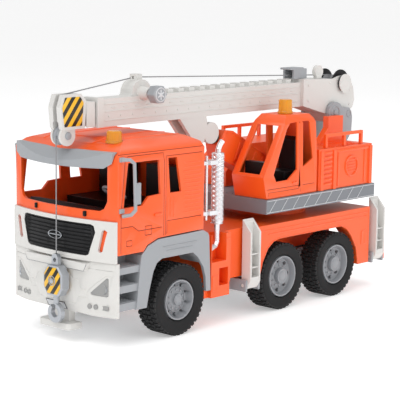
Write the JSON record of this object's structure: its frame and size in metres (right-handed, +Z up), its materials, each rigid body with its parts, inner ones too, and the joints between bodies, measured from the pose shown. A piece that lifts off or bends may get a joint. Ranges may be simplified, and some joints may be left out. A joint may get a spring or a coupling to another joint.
{
  "type": "toy crane truck",
  "caption": "Toy mobile crane truck with driver's cab, slewing superstructure, telescoping luffing boom, winch and hook block, swing-out outriggers and rolling wheels.",
  "frame": {"origin": "on the ground under the middle of the truck's bounding box", "axes": "+Z up, -Y towards the truck's front, +X towards its left side"},
  "size_m": [0.194, 0.5218, 0.2905],
  "materials": {
    "orange_plastic": "satin moulded ABS",
    "white_plastic": "satin moulded ABS",
    "grey_plastic": "fine matt moulded",
    "black_plastic": "fine matt moulded",
    "black_rubber": "matt rubber",
    "amber_lens": "clear tinted",
    "smoked_lens": "tinted clear",
    "bright_plating": "bright plated plastic",
    "steel": "drawn steel",
    "grey_rope": "braided"
  },
  "bodies": {
    "carrier": {"chassis_frame": "grey_plastic", "lower_body": "orange_plastic", "step_fender_left": "grey_plastic", "step_fender_right": "grey_plastic", "cab_shell": "orange_plastic", "cab_interior": "black_plastic", "steering_wheel": "grey_plastic", "grille_surround": "white_plastic", "grille": "black_plastic", "bumper": "white_plastic", "headlight_left": "smoked_lens", "headlight_right": "smoked_lens", "sun_visor": "grey_plastic", "cab_beacon": "amber_lens", "mirror_rail_left": "grey_plastic", "mirror_rail_right": "grey_plastic", "exhaust_stack": "bright_plating", "rear_bumper": "orange_plastic"},
    "front_axle": {"front_axle_shaft": "steel", "front_axle_rim_left": "grey_plastic", "front_axle_rim_right": "grey_plastic", "front_axle_tyre_left": "black_rubber", "front_axle_tyre_right": "black_rubber"},
    "rear_axle_1": {"rear_axle_1_shaft": "steel", "rear_axle_1_rim_left": "grey_plastic", "rear_axle_1_rim_right": "grey_plastic", "rear_axle_1_tyre_left": "black_rubber", "rear_axle_1_tyre_right": "black_rubber"},
    "rear_axle_2": {"rear_axle_2_shaft": "steel", "rear_axle_2_rim_left": "grey_plastic", "rear_axle_2_rim_right": "grey_plastic", "rear_axle_2_tyre_left": "black_rubber", "rear_axle_2_tyre_right": "black_rubber"},
    "outrigger_leg_front_left": {"outrigger_front_left": "white_plastic"},
    "outrigger_leg_front_right": {"outrigger_front_right": "white_plastic"},
    "outrigger_leg_rear_left": {"outrigger_rear_left": "white_plastic"},
    "outrigger_leg_rear_right": {"outrigger_rear_right": "white_plastic"},
    "superstructure": {"turret_deck": "grey_plastic", "operator_cab": "orange_plastic", "operator_interior": "black_plastic", "operator_beacon": "amber_lens", "engine_housing": "orange_plastic", "handrail_left": "orange_plastic", "handrail_right": "orange_plastic", "boom_bracket": "grey_plastic", "ram_cradle": "orange_plastic"},
    "boom": {"boom_outer": "white_plastic", "rope_guide": "grey_plastic", "rope_upper": "grey_rope", "rope_front": "grey_rope"},
    "extension_drive": {"extension_knob": "grey_plastic"},
    "winch": {"winch_drum": "black_plastic"},
    "telescope": {"boom_inner": "white_plastic", "boom_head": "white_plastic"},
    "sheave": {"head_sheave": "grey_plastic"},
    "hanging_rope": {"rope_hoist": "grey_rope"},
    "block": {"hook_block": "grey_plastic"},
    "swivel_hook": {"hook": "grey_plastic"},
    "ram": {"ram_housing": "orange_plastic"},
    "ram_piston": {"ram_rod": "white_plastic"}
  },
  "joints": [
    {"name": "front_axle_spin", "type": "hinge", "parent": "carrier", "child": "front_axle", "pos_m": [0, -0.1341, 0.041], "axis": [1, 0, 0], "continuous": true},
    {"name": "rear_axle_1_spin", "type": "hinge", "parent": "carrier", "child": "rear_axle_1", "pos_m": [0, 0.0489, 0.041], "axis": [1, 0, 0], "continuous": true},
    {"name": "rear_axle_2_spin", "type": "hinge", "parent": "carrier", "child": "rear_axle_2", "pos_m": [0, 0.1549, 0.041], "axis": [1, 0, 0], "continuous": true},
    {"name": "outrigger_front_left_swing", "type": "hinge", "parent": "carrier", "child": "outrigger_leg_front_left", "pos_m": [0.079, -0.0112, 0.04], "axis": [0, 1, 0], "range_deg": [0, 115]},
    {"name": "outrigger_front_right_swing", "type": "hinge", "parent": "carrier", "child": "outrigger_leg_front_right", "pos_m": [-0.079, -0.0112, 0.04], "axis": [0, -1, 0], "range_deg": [0, 115]},
    {"name": "outrigger_rear_left_swing", "type": "hinge", "parent": "carrier", "child": "outrigger_leg_rear_left", "pos_m": [0.079, 0.242, 0.04], "axis": [0, 1, 0], "range_deg": [0, 115]},
    {"name": "outrigger_rear_right_swing", "type": "hinge", "parent": "carrier", "child": "outrigger_leg_rear_right", "pos_m": [-0.079, 0.242, 0.04], "axis": [0, -1, 0], "range_deg": [0, 115]},
    {"name": "turret_slew", "type": "hinge", "parent": "carrier", "child": "superstructure", "pos_m": [0, 0.1099, 0.115], "axis": [0, 0, 1], "continuous": true},
    {"name": "boom_luff", "type": "hinge", "parent": "superstructure", "child": "boom", "pos_m": [0.01, 0.2099, 0.2275], "axis": [-1, 0, 0], "range_deg": [0, 45]},
    {"name": "boom_extend", "type": "slide", "parent": "boom", "child": "telescope", "axis": [0, -1, -0.0087], "range_m": [0, 0.14]},
    {"name": "extension_knob_turn", "type": "hinge", "parent": "boom", "child": "extension_drive", "pos_m": [0.01, -0.13448, 0.2693], "axis": [-1, 0, 0], "continuous": true},
    {"name": "winch_turn", "type": "hinge", "parent": "boom", "child": "winch", "pos_m": [0.01, 0.23158, 0.26469], "axis": [-1, 0, 0], "continuous": true},
    {"name": "sheave_turn", "type": "hinge", "parent": "telescope", "child": "sheave", "pos_m": [0.01, -0.24513, 0.22853], "axis": [-1, 0, 0], "continuous": true},
    {"name": "rope_plumb", "type": "hinge", "parent": "telescope", "child": "hanging_rope", "pos_m": [0.01, -0.24513, 0.22853], "axis": [-1, 0, 0], "range_deg": [-23, 0]},
    {"name": "hoist", "type": "slide", "parent": "hanging_rope", "child": "block", "axis": [0, 0, 1], "range_m": [-0.015, 0.11], "deforming": ["rope_hoist"]},
    {"name": "hook_turn", "type": "hinge", "parent": "block", "child": "swivel_hook", "pos_m": [0.01, -0.2549, 0.04], "axis": [0, 0, 1], "continuous": true},
    {"name": "ram_tilt", "type": "hinge", "parent": "superstructure", "child": "ram", "pos_m": [0.01, 0.1149, 0.152], "axis": [-1, 0, 0], "range_deg": [0, 49]},
    {"name": "ram_extend", "type": "slide", "parent": "ram", "child": "ram_piston", "axis": [0, -0.9011, 0.4336], "range_m": [0, 0.0939]}
  ],
  "couplings": [
    {"joint": "extension_knob_turn", "follows": "boom_extend", "rad_per_m": 153.85},
    {"joint": "winch_turn", "follows": "hoist", "rad_per_m": 103.09},
    {"joint": "sheave_turn", "follows": "hoist", "rad_per_m": 103.09},
    {"joint": "rope_plumb", "follows": "boom_luff", "ratio": -0.5},
    {"joint": "ram_tilt", "follows": "boom_luff", "ratio": 1.065},
    {"joint": "ram_extend", "follows": "boom_luff", "m_per_rad": 0.117}
  ]
}
